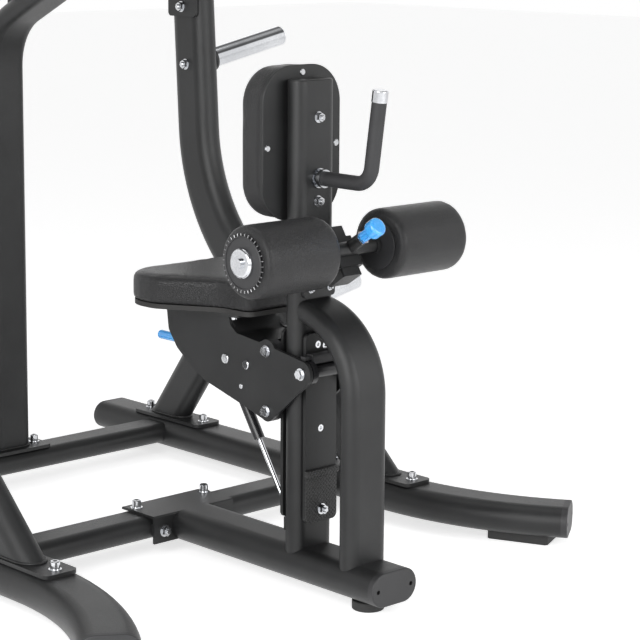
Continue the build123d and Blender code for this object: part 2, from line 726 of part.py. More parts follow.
def mast_points():
    rise = MAST_KNEE_Z + (MAST_Y - MAST_END_Y) * math.tan(math.radians(MAST_RISE))
    return [(0, MAST_Y, CENTRE_Z + 33), (0, MAST_Y, MAST_KNEE_Z), (0, MAST_END_Y, rise)]


def mast():
    """Rear post that bends forward above the user's back and passes below the upper tie."""
    return bent(POST, mast_points(), MAST_BEND, (1, 0, 0))


def mast_envelope():
    return solid_bent(POST, mast_points(), MAST_BEND, (1, 0, 0))


def mast_cap():
    a = math.radians(MAST_RISE)
    z = MAST_KNEE_Z + (MAST_Y - MAST_END_Y) * math.tan(a)
    origin, along = (0, MAST_END_Y, z), (0, -math.cos(a), math.sin(a))
    cap = extrude(Plane(origin=origin, x_dir=(1, 0, 0), z_dir=along) * SlotOverall(POST[0], POST[1]), amount=8)
    return fillet(cap.faces().sort_by(Axis(origin, along))[-1].edges(), 4)


def upper_tie():
    """Tie tube between the uprights above the mast, coped over it."""
    half = SIDE_X - UPRIGHT[1] / 2 - 8
    tube = straight(ring(CROSS), (-half, TIE_Y, TIE_Z), (1, 0, 0), (0, 1, 0), 2 * half)
    return tube - mast_envelope()


def tie_end_plate():
    """Plate at the tie's end that bolts to the upright."""
    half = SIDE_X - UPRIGHT[1] / 2 - 8
    plate = box((half, half + 8), (TIE_Y - 52, TIE_Y + 52), (TIE_Z - 88, TIE_Z + 88))
    return fillet(plate.edges().filter_by(Axis.X), 10)


def mast_saddle():
    """Wedge plate between the mast and the upper tie."""
    z = TIE_Z - CROSS[1] / 2
    a = math.tan(math.radians(MAST_RISE))
    mast_top = MAST_KNEE_Z + (MAST_Y - TIE_Y) * a + POST_FACE / math.cos(math.radians(MAST_RISE))
    points = [(TIE_Y - 14, mast_top + 14 * a), (TIE_Y + 40, mast_top - 40 * a), (TIE_Y + 40, z), (TIE_Y - 14, z)]
    return sheet_x(points, -27, 27)


def top_tie():
    """Round tie between the tops of the uprights."""
    y = upright_points()[-1][1] - 2
    half = SIDE_X - UPRIGHT[1] / 2
    return rod((-half, y, UPRIGHT_TOP - 34), (half, y, UPRIGHT_TOP - 34), 20, 17)


# ---------------------------------------------------------------- storage pegs
def peg_axis(base):
    """Where a peg's axis leaves its pad, and its direction."""
    a = math.radians(PEG_TILT)
    return Vector(SIDE_X + UPRIGHT[1] / 2 + 2, *base), Vector(math.cos(a), 0, math.sin(a))


def peg(base):
    """Chrome storage peg tilted up away from the machine, with a thinner root in its flange."""
    start, along = peg_axis(base)
    tube = rod(start - along * 8, start + along * PEG_ROOT, PEG_R - 1)
    tube += rod(start + along * PEG_ROOT, start + along * PEG_LENGTH, PEG_R)
    tube -= rod(start - along * 9, start + along * (PEG_LENGTH - 5), PEG_R - 4)
    tube = fillet(tube.faces().sort_by(Axis(start, along))[-1].edges(), 2)
    return tube - box((SIDE_X - 60, start.X), (base[0] - 60, base[0] + 60), (base[1] - 60, base[1] + 60))


def peg_flange(base):
    start, along = peg_axis(base)
    disc = rod(start + along * 8, start + along * 15, 32, PEG_R - 0.95)
    x0 = start.X - 2
    pad = box((x0, x0 + 2), (base[0] - 30, base[0] + 30), (base[1] - 30, base[1] + 30))
    return disc, fillet(pad.edges().filter_by(Axis.X), 12)


# ---------------------------------------------------------------- lever arms
def arm_points():
    return [(ARM_X, HORN_Y, HORN_Z), (ARM_X, PIVOT_Y, PIVOT_Z), (ARM_X, 560, 1812),
            (ARM_X, HANDLE_PIN_Y + 60, HANDLE_PIN_Z - 9)]


def arm_tube():
    return bent(ARM, arm_points(), [300.0, 500.0], (0, 0.36, 0.93))


def lever_arm():
    """One welded lever arm: tube, bearing housing, plate flange, counterweight and handle fork."""
    x_end = SIDE_X - UPRIGHT[1] / 2
    x0 = ARM_X + ARM[1] / 2
    boss = rod((x0 - 2, HORN_Y - 8, HORN_Z + 4), (x0 + 20, HORN_Y - 8, HORN_Z + 4), 32)
    arm = arm_tube() + arm_hub() + boss + arm_flange() + arm_counterweight()
    cheeks, pin = handle_yoke()
    arm += cheeks[0] + cheeks[1] + pin
    arm -= rod((ARM_X - 34, PIVOT_Y, PIVOT_Z), (x_end, PIVOT_Y, PIVOT_Z), 20.05)
    return arm - arm_horn()


def arm_hub():
    """Bearing housing of the lever arm, before its bore."""
    return rod((ARM_X - 34, PIVOT_Y, PIVOT_Z), (SIDE_X - UPRIGHT[1] / 2 - 12, PIVOT_Y, PIVOT_Z), 38)


def arm_shaft():
    """Stub shaft fixed to the upright's inner face, with a retaining cap."""
    x_face = SIDE_X - UPRIGHT[1] / 2
    shaft = rod((ARM_X - 40, PIVOT_Y, PIVOT_Z), (x_face, PIVOT_Y, PIVOT_Z), 20)
    flange = rod((x_face - 8, PIVOT_Y, PIVOT_Z), (x_face, PIVOT_Y, PIVOT_Z), 46)
    cap = rod((ARM_X - 44, PIVOT_Y, PIVOT_Z), (ARM_X - 36, PIVOT_Y, PIVOT_Z), 30)
    return shaft + flange + cap


def arm_horn():
    """Chrome weight horn at the arm's rear end, with a plate flange."""
    x0, y, z = ARM_X + ARM[1] / 2, HORN_Y - 8, HORN_Z + 4
    tube = rod((x0 - 20, y, z), (x0 + 30, y, z), PEG_R - 1)
    tube += rod((x0 + 30, y, z), (x0 + 300, y, z), PEG_R)
    return fillet(tube.faces().sort_by(Axis.X)[-1].edges(), 3)


def arm_flange():
    x0 = ARM_X + ARM[1] / 2
    return rod((x0 + 18, HORN_Y - 8, HORN_Z + 4), (x0 + 26, HORN_Y - 8, HORN_Z + 4), 60)


def arm_counterweight():
    """Steel block on the inner side of the arm's rear end that brings the handles back up."""
    x0 = ARM_X - ARM[1] / 2
    block = rod((x0 - 90, HORN_Y - 8, HORN_Z + 4), (x0, HORN_Y - 8, HORN_Z + 4), 72)
    return chamfer(block.edges(), 3)


def handle_yoke():
    """Fork at the front of the arm that holds the swinging handle's pin."""
    y, z = HANDLE_PIN_Y, HANDLE_PIN_Z
    cheeks = [sheet_x([(y - 24, z - 22), (y + 96, z - 36), (y + 96, z + 12), (y - 24, z + 22)],
                      ARM_X + dx, ARM_X + dx + 6, 12) for dx in (-29, 23)]
    pin = rod((ARM_X - 33, y, z), (ARM_X + 33, y, z), 7)
    return cheeks, pin


def pull_handle():
    """Swinging handle: an eye on the fork's pin, a hanger and a cranked grip bar."""
    y, z = HANDLE_PIN_Y, HANDLE_PIN_Z
    eye = rod((ARM_X - 20, y, z), (ARM_X + 20, y, z), 17, 7.05)
    hanger = rod((ARM_X, y, z - 15), (ARM_X, y, z - 96), 12)
    bar = rod((ARM_X - 110, y, z - 108), (ARM_X + 110, y, z - 108), 14)
    caps = [rod((ARM_X + side * 106.5, y, z - 108), (ARM_X + side * 114, y, z - 108), 18) for side in (-1, 1)]
    return eye + hanger + bar + caps[0] + caps[1]


def pull_grip():
    y, z = HANDLE_PIN_Y, HANDLE_PIN_Z - 108
    grips = []
    for side in (-1, 1):
        sleeve = rod((ARM_X + side * 16, y, z), (ARM_X + side * 106, y, z), 17.5, 14)
        grips.append(fillet(sleeve.edges().filter_by(GeomType.CIRCLE).sort_by(SortBy.RADIUS)[-2:], 2))
    return grips


def arm_stop():
    """Bracket on the upright's inner face and the rubber stop that the arm rests on."""
    shelf = box((ARM_X - 22, SIDE_X - UPRIGHT[1] / 2), (972, 1142), (STOP_TOP - 32, STOP_TOP - 20))
    shelf = fillet(shelf.edges().filter_by(Axis.Z).sort_by(Axis.X)[:2], 10)
    pad = rod((ARM_X, 1120, STOP_TOP - 20), (ARM_X, 1120, STOP_TOP), 18)
    return shelf, fillet(pad.faces().sort_by(Axis.Z)[-1].edges(), 4)


# ---------------------------------------------------------------- fasteners
def base_bolts():
    top = SIDE_Z + BEAM[1] / 2 + PLATE_T
    bolts = []
    for x in (-SIDE_X, SIDE_X):
        bolts += [socket_bolt((x, y, top), (0, 0, 1)) for y in (190, 452, 934, 1146)]
    cross_top = CENTRE_Z + CROSS[1] / 2 + PLATE_T
    bolts += [socket_bolt((x, REAR_CROSS_Y + 4, cross_top), (0, 0, 1)) for x in (-74, 74)]
    bolts += [socket_bolt((x, FRONT_CROSS_Y + 20, CENTRE_Z + 31.3), (0, 0, 1)) for x in (-96, 96)]
    flange_y = FRONT_CROSS_Y - CROSS[0] / 2 - 12
    bolts += [bolt((x, flange_y, CENTRE_Z - 4), (0, -1, 0), 7.0) for x in (-84, 84)]
    return bolts


def column_bolts():
    """Through bolts of the column: chest pad, knee bracket and rails."""
    bolts = [bolt((0, -POST_FACE, z), (0, -1, 0)) for z in (980, 811)]
    bolts += [bolt((x, -POST_FACE - 8, 634), (0, -1, 0), 3.5, 4.0) for x in (-26, 26)]
    bolts += [bolt((0, -RAIL_FACE - 3, 177), (0, -1, 0))]
    return bolts + rail_screws()


def upright_bolts():
    """Nuts of the pegs on the uprights' inner faces and of the upper tie's end plates."""
    inner = SIDE_X - UPRIGHT[1] / 2
    bolts = []
    for side in (-1, 1):
        for y, z in (UPPER_PEG, LOWER_PEG):
            bolts.append(bolt((side * inner, y, z - 8), (-side, 0, 0), 7.0))
        for dz in (-64, 64):
            bolts.append(bolt((side * (inner - 8), TIE_Y, TIE_Z + dz), (-side, 0, 0), 7.0))
    return bolts


def seat_bolts():
    """Small screws that hold the seat board to the bearer's flanges."""
    screws = []
    for side in (-1, 1):
        for y in (146, 344):
            screws.append(rod((side * 75, y, SEAT_LOW - 11), (side * 75, y, SEAT_LOW - 6), 5.5))
    return screws


def save(name, shape):
    """Shift a sub-part into the machine's own frame and write it as one STEP file."""
    pieces = shape if isinstance(shape, (list, tuple)) else [shape]
    solids = [solid for piece in pieces for solid in piece.solids()]
    moved = [Pos(0, ORIGIN_SHIFT, 0) * solid for solid in solids]
    part = moved[0] if len(moved) == 1 else Compound(children=moved)
    export_step(part, "parts/" + name + ".step")


def write_base():
    envelope = side_beam_envelope()
    envelopes = mirrored(envelope)
    save("side_beams", mirrored(side_beam()))
    centre_cap = beam_cap((0, FRONT_Y + CAP_T, CENTRE_Z), (0, -1, 0), (1, 0, 0))
    save("beam_caps", side_caps() + [centre_cap])
    save("centre_beam", centre_beam())
    save("cross_beams", [cross_beam(y, envelopes) for y in (FRONT_CROSS_Y, REAR_CROSS_Y)])
    save("centre_saddle", saddle())
    feet = [foot_disc(x, 1262, SIDE_Z - BEAM[1] / 2) for x in (-SIDE_X, SIDE_X)]
    feet.append(foot_disc(0, -180, CENTRE_Z - BEAM[1] / 2))
    save("rubber_feet", feet + mirrored(outer_foot()))
    top = SIDE_Z + BEAM[1] / 2
    plates = mirrored(foot_plate(SIDE_X, 321, 40, 156, top)) + mirrored(foot_plate(SIDE_X, 1040, 40, 130, top))
    plates.append(foot_plate(0, REAR_CROSS_Y + 4, 98, 44, CENTRE_Z + CROSS[1] / 2))
    save("foot_plates", plates)


def write_column():
    save("column", column())
    save("bow_tube", bow_tube())
    save("rails", [rail(-1), rail(1)])
    save("rail_stop", rail_stop())
    save("chest_plate", chest_plate())
    save("chest_cushion", chest_cushion())
    save("assist_handle", handle_core())
    save("assist_grip", handle_grip())
    save("assist_chrome", [handle_ring(), handle_cap()])


def write_seat():
    save("seat_side_plates", seat_side_plates() + seat_tie_tubes() + [lever_pivot_pin()])
    save("seat_bearer", [seat_bearer()] + spring_hanger())
    save("seat_board", seat_board())
    save("seat_cushion", seat_cushion())
    save("front_guide_roller", guide_roller(-GUIDE_ROLLER_Y, FRONT_ROLLER_Z, 25))
    save("upper_guide_roller", guide_roller(GUIDE_ROLLER_Y, UPPER_ROLLER_Z, 22))
    save("lower_guide_roller", guide_roller(GUIDE_ROLLER_Y, LOWER_ROLLER_Z, 22))
    save("roller_axles", roller_axles() + plate_buttons() + seat_bolts())
    save("seat_blocks", [wiper_bar(), latch_block()])
    save("release_lever", lever())
    save("release_grip", lever_grip())
    save("latch_pin", latch_pin())
    save("spring_bracket", spring_bracket())
    save("spring_rod", spring_rod())
    save("spring_cylinder", spring_cylinder())


def write_knee():
    save("knee_guide", [knee_guide(), knee_bracket()])
    save("knee_sleeve", knee_sleeve())
    save("knee_axle", knee_axle())
    for side, word in ((1, "left"), (-1, "right")):
        save("knee_roller_" + word, knee_roller(side))
        save("knee_hub_" + word, knee_hub(side))
    save("knee_caps", knee_caps())
    save("pull_pin", pull_pin())
    save("pull_pin_nut", pull_pin_nut())
    save("pull_knob", pull_knob())


def write_frame():
    save("uprights", mirrored(upright() + upright_cap()))
    save("rear_legs", mirrored(rear_leg()))
    save("rear_mast", mast() + mast_cap())
    shelf, pad = arm_stop()
    ties = [upper_tie(), mast_saddle() - mast_envelope(), top_tie()]
    save("upper_ties", ties + mirrored(tie_end_plate()) + mirrored(shelf))
    save("stop_pads", mirrored(pad))
    pegs = mirrored(peg(UPPER_PEG)) + mirrored(peg(LOWER_PEG))
    save("storage_pegs", pegs)
    flanges = []
    for base in (UPPER_PEG, LOWER_PEG):
        for piece in peg_flange(base):
            flanges += mirrored(piece)
    save("peg_flanges", flanges)
    save("frame_bolts", base_bolts() + column_bolts() + chest_screws() + upright_bolts())


def write_arms():
    arms, horns, handles = mirrored(lever_arm()), mirrored(arm_horn()), mirrored(pull_handle())
    grips = [mirrored(grip) for grip in pull_grip()]
    save("pivot_shafts", mirrored(arm_shaft()))
    for k, word in enumerate(("left", "right")):
        save("lever_arm_" + word, arms[k])
        save("weight_horn_" + word, horns[k])
        save("pull_handle_" + word, handles[k])
        save("pull_grips_" + word, [grip[k] for grip in grips])


os.makedirs("parts", exist_ok=True)
write_base()
write_column()
write_seat()
write_knee()
write_frame()
write_arms()
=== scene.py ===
# %% [markdown]
# # A plate-loaded pulldown machine
# The machine is a welded steel frame with a padded seat, a chest pad and two
# foam knee rollers. The steel already exists as exact CAD pieces in a fixed
# frame, so this lesson gives every piece a believable finish, sews the padded
# pieces, and adds the small made things that the CAD leaves out.

# %% Load the frame
import json
import math
import bpy
import mathutils
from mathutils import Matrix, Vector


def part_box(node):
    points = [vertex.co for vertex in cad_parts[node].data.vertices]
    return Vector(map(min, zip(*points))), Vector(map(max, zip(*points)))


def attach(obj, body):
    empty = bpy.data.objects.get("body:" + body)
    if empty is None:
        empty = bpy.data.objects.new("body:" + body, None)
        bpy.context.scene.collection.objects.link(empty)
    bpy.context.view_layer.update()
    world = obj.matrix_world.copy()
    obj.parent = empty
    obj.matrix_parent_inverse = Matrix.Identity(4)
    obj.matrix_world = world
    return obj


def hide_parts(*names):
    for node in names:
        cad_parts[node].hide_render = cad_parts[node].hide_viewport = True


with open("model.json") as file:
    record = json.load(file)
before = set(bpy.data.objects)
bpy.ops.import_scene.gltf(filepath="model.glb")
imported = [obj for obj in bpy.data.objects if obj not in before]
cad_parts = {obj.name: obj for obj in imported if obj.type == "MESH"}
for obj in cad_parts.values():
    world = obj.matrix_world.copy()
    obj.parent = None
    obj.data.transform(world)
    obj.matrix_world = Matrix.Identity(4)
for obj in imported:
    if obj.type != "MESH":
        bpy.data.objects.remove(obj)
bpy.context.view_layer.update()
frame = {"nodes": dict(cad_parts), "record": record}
nodes = frame["nodes"]

# %% [markdown]
# ## Camera
# The machine is looked at from its front left corner, standing, a little
# above the chest pad. A long lens keeps the tubes from flaring. The camera is
# placed first, because everything after it is judged through it.

# %% Camera
CAMERA_PLACE = (-2.8598, -3.6336, 1.3837)
CAMERA_TURN = (-43.227, 9.296, 0.396)
turn = (mathutils.Matrix.Rotation(math.radians(CAMERA_TURN[0]), 4, "Z")
        @ mathutils.Matrix.Rotation(math.radians(90 - CAMERA_TURN[1]), 4, "X")
        @ mathutils.Matrix.Rotation(math.radians(CAMERA_TURN[2]), 4, "Z"))
bpy.ops.object.camera_add(location=CAMERA_PLACE, rotation=turn.to_euler())
camera = bpy.context.object
camera.name = "view_camera"
camera.data.lens = 118.25
camera.data.sensor_width = 36.0
camera.data.shift_y = -0.1
camera.data.clip_end = 60.0
bpy.context.scene.camera = camera
print("camera:", [round(v, 3) for v in camera.location], "lens", camera.data.lens)

# %% [markdown]
# ## Light and floor
# The room is a plain white studio. Two big soft lights stand on the camera's
# side and one hangs above, so front and side faces read lighter than the tops
# of the beams. The floor and the sky are nearly white.

# %% Light and floor
def soft_light(name, place, aim, size, power):
    """A square area light that points at a place."""
    bpy.ops.object.light_add(type="AREA", location=place)
    lamp = bpy.context.object
    lamp.name = name
    lamp.data.size = size
    lamp.data.energy = power
    towards = mathutils.Vector(aim) - mathutils.Vector(place)
    lamp.rotation_euler = towards.to_track_quat("-Z", "Y").to_euler()
    return lamp


soft_light("key_light", (-3.2, -1.6, 1.9), (0, 0, 0.6), 2.4, 100.0)
soft_light("front_light", (0.6, -3.6, 1.5), (0, 0, 0.6), 2.0, 46.0)
soft_light("top_light", (0.4, 0.4, 3.6), (0, 0, 0.4), 2.0, 16.0)

# %% [markdown]
# ## The room that the chrome mirrors
# Chrome shows nothing but its surroundings, so an evenly white room makes it
# flat grey. Here the walls are bright low down and a dark belt hangs above
# them, as between two soft boxes. Only reflected rays see the belt, the sharp
# ones of chrome and the blurred ones of paint: the background stays white and
# the soft light stays even.

# %% White room
world = bpy.data.worlds.new("white_room")
world.use_nodes = True
tree = world.node_tree
tree.nodes["Background"].inputs["Color"].default_value = (1.0, 1.0, 1.0, 1.0)
direction = tree.nodes.new("ShaderNodeTexCoord")
height = tree.nodes.new("ShaderNodeSeparateXYZ")
walls = tree.nodes.new("ShaderNodeValToRGB")
BELT = ((0.0, 1.2), (0.52, 1.2), (0.62, 0.15), (0.80, 0.15), (0.92, 0.7))
while len(walls.color_ramp.elements) < len(BELT):
    walls.color_ramp.elements.new(0.5)
for stop, (position, level) in zip(walls.color_ramp.elements, BELT):
    stop.position = position
    stop.color = (level, level, level, 1.0)
seen = tree.nodes.new("ShaderNodeLightPath")
mirrored = tree.nodes.new("ShaderNodeMix")
mirrored.inputs["A"].default_value = 0.30
direct = tree.nodes.new("ShaderNodeMix")
direct.inputs["B"].default_value = 1.0
tree.links.new(direction.outputs["Generated"], height.inputs["Vector"])
tree.links.new(height.outputs["Z"], walls.inputs["Fac"])
tree.links.new(seen.outputs["Is Glossy Ray"], mirrored.inputs["Factor"])
tree.links.new(walls.outputs["Color"], mirrored.inputs["B"])
tree.links.new(seen.outputs["Is Camera Ray"], direct.inputs["Factor"])
tree.links.new(mirrored.outputs["Result"], direct.inputs["A"])
tree.links.new(direct.outputs["Result"], tree.nodes["Background"].inputs["Strength"])
bpy.context.scene.world = world
bpy.context.scene.view_settings.view_transform = "Standard"

bpy.ops.mesh.primitive_plane_add(size=40.0, location=(0, 0, -0.0005))
floor = bpy.context.object
floor.name = "floor"
print("room:", world.name, "floor:", floor.name)

# %% [markdown]
# ## A workshop of finishes
# Each real finish has a colour that wanders a little, a roughness that wanders
# too, and a fine relief. Noise textures in object space give all three, so the
# grain has the same size on a bolt as on a beam. One helper builds that chain
# and each finish names its own numbers.

# %% A helper for finishes
def wire(material, source, out, target, name):
    material.node_tree.links.new(source.outputs[out], target.inputs[name])


def add(material, kind, **values):
    """A new node with some of its sockets set."""
    node = material.node_tree.nodes.new(kind)
    for name, value in values.items():
        node.inputs[name.replace("_", " ")].default_value = value
    return node


def finish(name, dark, light, rough, grain, relief, metal=0.0, detail=6.0):
    """A shader whose colour, roughness and relief vary at a grain size in metres."""
    material = bpy.data.materials.new(name)
    material.use_nodes = True
    shader = material.node_tree.nodes["Principled BSDF"]
    shader.inputs["Metallic"].default_value = metal
    place = add(material, "ShaderNodeTexCoord")
    coarse = add(material, "ShaderNodeTexNoise", Scale=9.0, Detail=4.0)
    fine = add(material, "ShaderNodeTexNoise", Scale=1.0 / grain, Detail=detail, Roughness=0.6)
    wire(material, place, "Object", coarse, "Vector")
    wire(material, place, "Object", fine, "Vector")
    mix = add(material, "ShaderNodeMath")
    mix.operation = "MULTIPLY"
    wire(material, coarse, "Fac", mix, 0)
    wire(material, fine, "Fac", mix, 1)
    ramp = add(material, "ShaderNodeValToRGB")
    ramp.color_ramp.elements[0].position = 0.12
    ramp.color_ramp.elements[0].color = (*dark, 1.0)
    ramp.color_ramp.elements[1].position = 0.42
    ramp.color_ramp.elements[1].color = (*light, 1.0)
    wire(material, mix, "Value", ramp, "Fac")
    wire(material, ramp, "Color", shader, "Base Color")
    span = add(material, "ShaderNodeMapRange")
    span.inputs["To Min"].default_value = rough[0]
    span.inputs["To Max"].default_value = rough[1]
    wire(material, coarse, "Fac", span, "Value")
    wire(material, span, "Result", shader, "Roughness")
    bump = add(material, "ShaderNodeBump", Strength=relief, Distance=grain)
    wire(material, fine, "Fac", bump, "Height")
    wire(material, bump, "Normal", shader, "Normal")
    return material


# %% [markdown]
# ## Painted steel, chrome and bare steel
# The frame is charcoal powder coat: a satin skin with an orange-peel grain of
# about a millimetre. Chrome is a mirror with faint clouding. Machined steel
# is duller, with a finer grain.

# %% Metals
powder_coat = finish("powder_coat", (0.010, 0.0102, 0.0105), (0.022, 0.0225, 0.023),
                     (0.32, 0.44), 0.0012, 0.35)
paint_shader = powder_coat.node_tree.nodes["Principled BSDF"]
paint_shader.inputs["Specular IOR Level"].default_value = 0.35
chrome = finish("bright_chrome", (0.52, 0.53, 0.55), (0.72, 0.73, 0.75), (0.07, 0.16), 0.004, 0.02, metal=1.0)
steel = finish("turned_steel", (0.36, 0.36, 0.37), (0.56, 0.56, 0.57), (0.28, 0.42), 0.0008, 0.08, metal=1.0)
black_steel = finish("black_steel", (0.010, 0.010, 0.011), (0.022, 0.022, 0.024), (0.2, 0.3), 0.002, 0.05)
print("metals:", powder_coat.name, chrome.name, steel.name, black_steel.name)

# %% [markdown]
# ## Plastics, rubber and board
# End caps and rollers are moulded plastic with a light spark texture, grips
# and feet are rubber, and the knob and the seat lever's grip are a deep
# glossy blue that lets a little light through.

# %% Plastics and rubber
black_plastic = finish("moulded_black", (0.014, 0.014, 0.015), (0.03, 0.03, 0.032),
                       (0.42, 0.58), 0.0009, 0.18)
grip_rubber = finish("grip_rubber", (0.012, 0.012, 0.013), (0.026, 0.026, 0.028), (0.5, 0.68), 0.0007, 0.25)
foot_rubber = finish("foot_rubber", (0.014, 0.014, 0.014), (0.028, 0.028, 0.028), (0.62, 0.8), 0.0012, 0.3)
blue_plastic = finish("blue_plastic", (0.03, 0.27, 0.68), (0.09, 0.44, 0.90), (0.1, 0.2), 0.003, 0.03)
blue_shader = blue_plastic.node_tree.nodes["Principled BSDF"]
blue_shader.inputs["Coat Weight"].default_value = 0.6
blue_shader.inputs["Subsurface Weight"].default_value = 0.15
seat_ply = finish("seat_ply", (0.010, 0.010, 0.010), (0.020, 0.019, 0.018), (0.6, 0.75), 0.002, 0.2)
print("plastics:", black_plastic.name, grip_rubber.name, foot_rubber.name, blue_plastic.name, seat_ply.name)

# %% [markdown]
# ## Upholstery vinyl
# The pads are covered in black vinyl embossed like leather. Leather is small
# cells with creases between them, which is what a Voronoi texture's distance
# to edge draws. It is mixed with noise so that the cells aren't all alike.

# %% Vinyl
def grained_vinyl(name, cell):
    """Black vinyl with embossed cells of a size in metres."""
    material = finish(name, (0.008, 0.008, 0.0085), (0.022, 0.022, 0.023), (0.28, 0.40), cell / 3, 0.3)
    tree = material.node_tree
    place = next(n for n in tree.nodes if n.type == "TEX_COORD")
    cells = add(material, "ShaderNodeTexVoronoi", Scale=1.0 / cell, Randomness=1.0)
    cells.feature = "DISTANCE_TO_EDGE"
    wire(material, place, "Object", cells, "Vector")
    crease = add(material, "ShaderNodeMapRange")
    crease.inputs["From Max"].default_value = 0.12
    wire(material, cells, "Distance", crease, "Value")
    first = next(n for n in tree.nodes if n.type == "BUMP")
    second = add(material, "ShaderNodeBump", Strength=0.7, Distance=cell / 4)
    wire(material, crease, "Result", second, "Height")
    wire(material, first, "Normal", second, "Normal")
    wire(material, second, "Normal", tree.nodes["Principled BSDF"], "Normal")
    return material


vinyl = grained_vinyl("grained_vinyl", 0.0036)
vinyl_shader = vinyl.node_tree.nodes["Principled BSDF"]
vinyl_shader.inputs["Specular IOR Level"].default_value = 0.38
print("vinyl:", vinyl.name)

# %% [markdown]
# ## Textured rail stop
# The stop's rubber face is moulded with rows of small scales that grip when
# the seat comes down on it. Two crossed wave textures make rows of lozenges.

# %% Scaled rubber
scaled_rubber = finish("scaled_rubber", (0.016, 0.016, 0.016), (0.035, 0.035, 0.036),
                       (0.45, 0.6), 0.0012, 0.15)
place = next(n for n in scaled_rubber.node_tree.nodes if n.type == "TEX_COORD")
split = add(scaled_rubber, "ShaderNodeSeparateXYZ")
wire(scaled_rubber, place, "Object", split, "Vector")
heights = []
for sign in (1.0, -1.0):
    along = add(scaled_rubber, "ShaderNodeMath")
    along.operation = "MULTIPLY_ADD"
    along.inputs[1].default_value = sign
    wire(scaled_rubber, split, "X", along, 0)
    wire(scaled_rubber, split, "Z", along, 2)
    ripple = add(scaled_rubber, "ShaderNodeMath")
    ripple.operation = "MULTIPLY"
    ripple.inputs[1].default_value = 720.0
    wire(scaled_rubber, along, "Value", ripple, 0)
    wave = add(scaled_rubber, "ShaderNodeMath")
    wave.operation = "SINE"
    wire(scaled_rubber, ripple, "Value", wave, 0)
    heights.append(wave)
scale_top = add(scaled_rubber, "ShaderNodeMath")
scale_top.operation = "MAXIMUM"
wire(scaled_rubber, heights[0], "Value", scale_top, 0)
wire(scaled_rubber, heights[1], "Value", scale_top, 1)
scale_bump = add(scaled_rubber, "ShaderNodeBump", Strength=0.9, Distance=0.0012)
wire(scaled_rubber, scale_top, "Value", scale_bump, "Height")
wire(scaled_rubber, scale_bump, "Normal", scaled_rubber.node_tree.nodes["Principled BSDF"], "Normal")
print("rail stop:", scaled_rubber.name)

# %% [markdown]
# ## Floor finish
# The studio floor is a pale matt sheet, so it has a very slight mottle only.

# %% Floor finish
pale_floor = finish("pale_floor", (0.90, 0.90, 0.90), (0.94, 0.94, 0.94), (0.7, 0.8), 0.01, 0.0)
pale_shader = pale_floor.node_tree.nodes["Principled BSDF"]
pale_shader.inputs["Specular IOR Level"].default_value = 0.1
pale_shader.inputs["Emission Color"].default_value = (1.0, 1.0, 1.0, 1.0)
pale_shader.inputs["Emission Strength"].default_value = 0.65
floor.data.materials.append(pale_floor)
print("floor:", pale_floor.name)

# %% [markdown]
# ## Dress the steel
# Every CAD piece says which finish it takes, so one pass over the record
# dresses the whole frame.

# %% Dress the CAD pieces
FINISHES = {"frame_paint": powder_coat, "chrome": chrome, "steel": steel, "black_steel": black_steel,
            "black_plastic": black_plastic, "blue_plastic": blue_plastic, "vinyl": vinyl,
            "grip_rubber": grip_rubber, "rubber": foot_rubber, "board": seat_ply}
slot_of = {part["node"]: part["material_slot"] for part in frame["record"]["subparts"]}
for node_name, obj in nodes.items():
    coat = FINISHES[slot_of[node_name]]
    if not obj.material_slots:
        obj.data.materials.append(coat)
    for index in range(len(obj.material_slots)):
        obj.material_slots[index].material = coat
for index in range(len(nodes["rail_stop"].material_slots)):
    nodes["rail_stop"].material_slots[index].material = scaled_rubber
for index in range(len(nodes["front_guide_roller"].material_slots)):
    nodes["front_guide_roller"].material_slots[index].material = black_steel
print("dressed:", len(slot_of), "pieces")


# %% [markdown]
# ## Sewing the cushions
# A gym pad is foam under stretched vinyl: its edges are round, its faces are
# slightly crowned and it is drawn in along the seam. The pad's CAD block is
# copied, shrunk, remeshed to even cells and blown up a little as cloth. The
# move of each point is capped and the flat back is held on its board. Cloth
# under pressure also draws a pad's sides in, so that part is nearly all undone.

# %% A helper for padded pieces
def only(obj):
    """Selects one object and nothing else."""
    bpy.ops.object.select_all(action="DESELECT")
    obj.select_set(True)
    bpy.context.view_layer.objects.active = obj


def apply_all(obj):
    only(obj)
    for modifier in list(obj.modifiers):
        bpy.ops.object.modifier_apply(modifier=modifier.name)


def copy_of(node_name, name):
    """A merged copy of a CAD piece's mesh, as a new object at the origin."""
    copy = bpy.data.objects.new(name, nodes[node_name].data.copy())
    bpy.context.scene.collection.objects.link(copy)
    copy.data.materials.clear()
    only(copy)
    bpy.ops.object.mode_set(mode="EDIT")
    bpy.ops.mesh.select_all(action="SELECT")
    bpy.ops.mesh.remove_doubles(threshold=0.00005)
    bpy.ops.mesh.normals_make_consistent(inside=False)
    bpy.ops.object.mode_set(mode="OBJECT")
    return copy


PULL_IN = 0.0008
CLOTH_STEPS = 20
PRESSURE = 4.0


